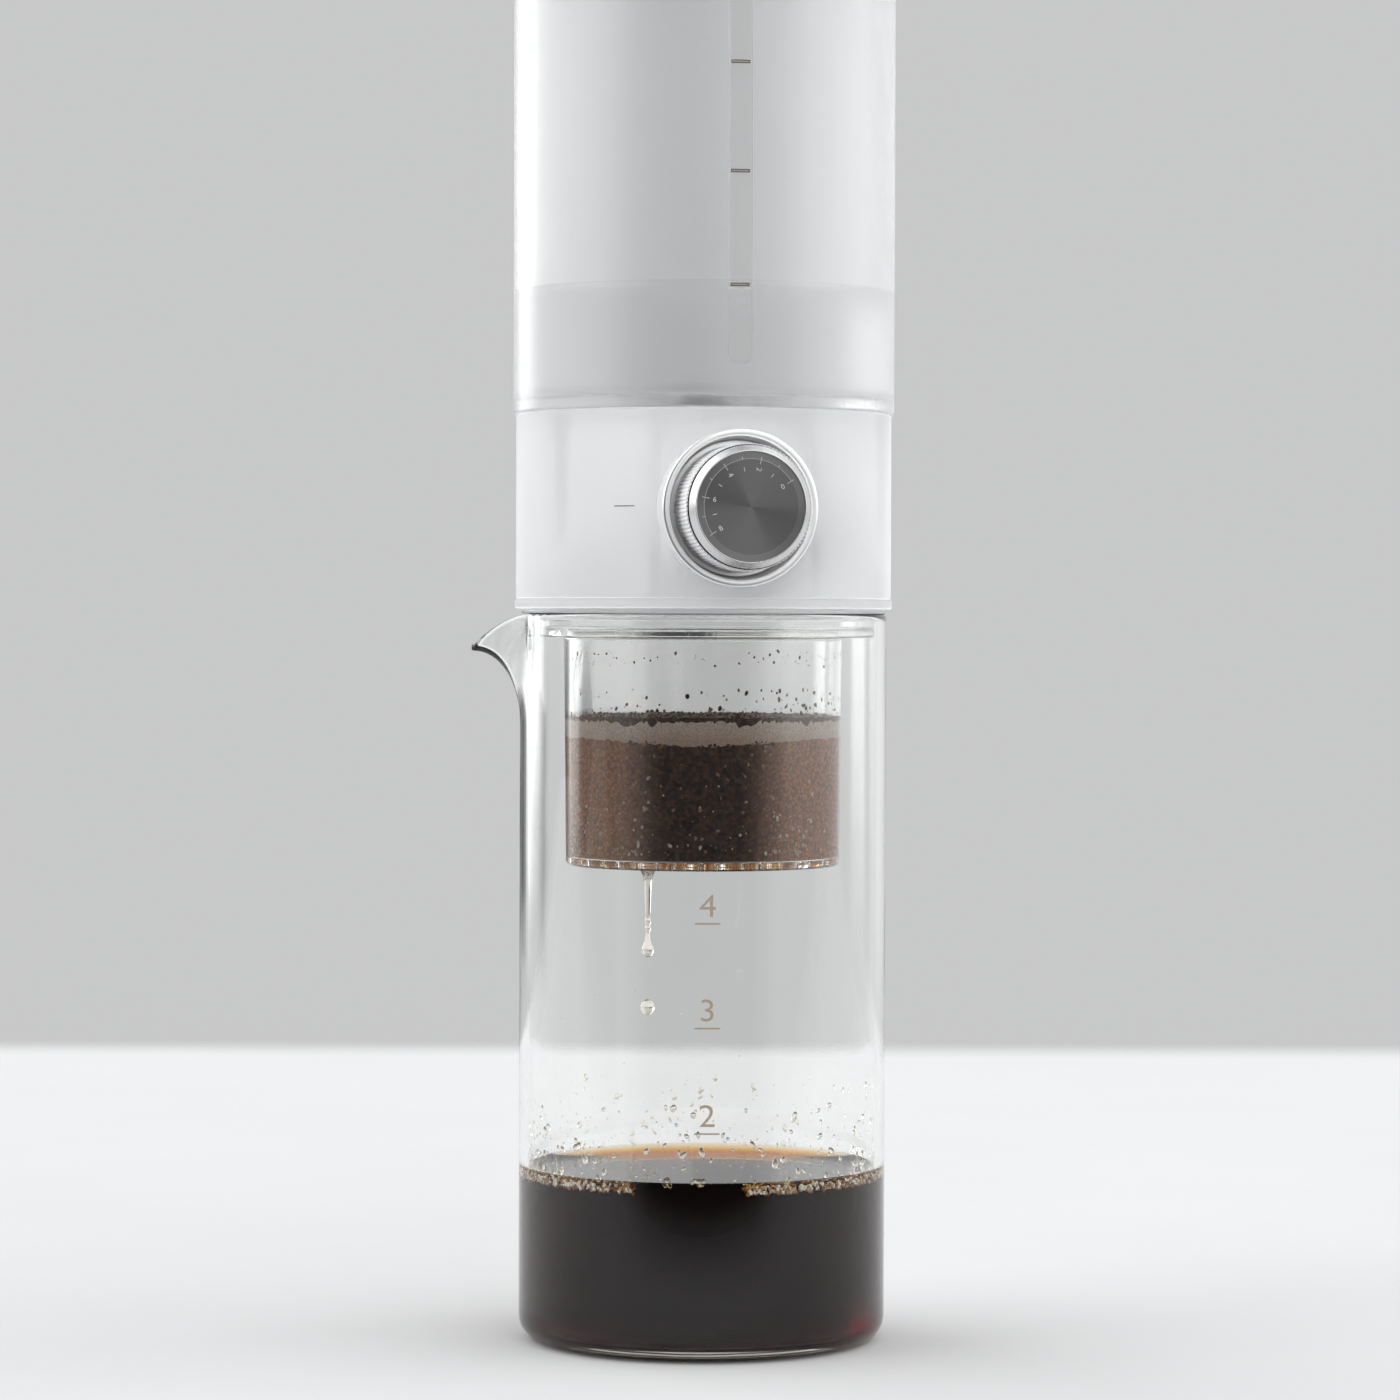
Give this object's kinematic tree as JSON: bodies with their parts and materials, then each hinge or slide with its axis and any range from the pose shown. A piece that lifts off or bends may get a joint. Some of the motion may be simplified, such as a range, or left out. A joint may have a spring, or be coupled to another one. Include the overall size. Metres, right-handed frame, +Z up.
{
  "type": "iced coffee dripper",
  "caption": "Gravity cold drip coffee maker: glass carafe with pouring lip, clear coffee container with steel filter, and a frosted water tank whose knob meters the drops.",
  "frame": {"origin": "centre of the carafe's flat underside, on the object's axis", "axes": "+Z up along the axis, -Y to the front, the pouring lip points to -X, the knob points 10.9 degrees from -Y towards +X"},
  "size_m": [0.1055, 0.109, 0.3544],
  "materials": {
    "clear_glass": "clear borosilicate glass, fire polished",
    "clear_plastic": "clear moulded plastic, glossy",
    "frosted_plastic": "frosted translucent plastic with a clear gauge strip",
    "collar_plastic": "finely frosted translucent plastic",
    "clear_silicone": "translucent silicone, satin",
    "steel_sheet": "perforated stainless sheet",
    "screw_steel": "plain stainless",
    "polished_metal": "satin polished metal",
    "knob_metal": "straight knurl and polished bezel",
    "dial_metal": "dark anodised, spun",
    "brass": "turned brass",
    "white_plastic": "white moulded plastic",
    "black_plastic": "black moulded plastic",
    "black_rubber": "black rubber"
  },
  "bodies": {
    "carafe": {"carafe": "clear_glass"},
    "container": {"coffee_container": "clear_plastic", "container_gasket": "clear_silicone"},
    "distributor": {"distributor_plate": "steel_sheet"},
    "filter": {"filter_disc": "steel_sheet", "filter_rim": "clear_silicone"},
    "tank": {"tank_vessel": "frosted_plastic", "base_collar": "collar_plastic", "bottom_cover": "collar_plastic", "cover_screws": "screw_steel", "tank_seal": "clear_silicone", "inlet_nut": "white_plastic", "inlet_strainer": "steel_sheet", "valve_body": "white_plastic", "drip_nozzle": "screw_steel", "gland_nut": "brass", "escutcheon": "polished_metal", "panel_nut": "brass"},
    "knob": {"valve_spindle": "brass", "spindle_orings": "black_rubber", "knob_core": "black_plastic", "knob_shell": "knob_metal", "knob_dial": "dial_metal"},
    "lid": {"lid": "frosted_plastic", "lid_seal": "clear_silicone"}
  },
  "joints": [
    {"name": "container_lift", "type": "slide", "parent": "carafe", "child": "container", "axis": [0, 0, 1], "range_m": [0, 0.066]},
    {"name": "plate_lift", "type": "slide", "parent": "container", "child": "distributor", "axis": [0, 0, 1], "range_m": [0, 0.006]},
    {"name": "filter_lift", "type": "slide", "parent": "container", "child": "filter", "axis": [0, 0, 1], "range_m": [0, 0.018]},
    {"name": "tank_lift", "type": "slide", "parent": "container", "child": "tank", "axis": [0, 0, 1], "range_m": [0, 0.04]},
    {"name": "lid_lift", "type": "slide", "parent": "tank", "child": "lid", "axis": [0, 0, 1], "range_m": [0, 0.03]},
    {"name": "knob_turn", "type": "hinge", "parent": "tank", "child": "knob", "pos_m": [0.00885, -0.04596, 0.2064], "axis": [0.1891, -0.982, 0], "range_deg": [-34.6, 147.6]}
  ]
}
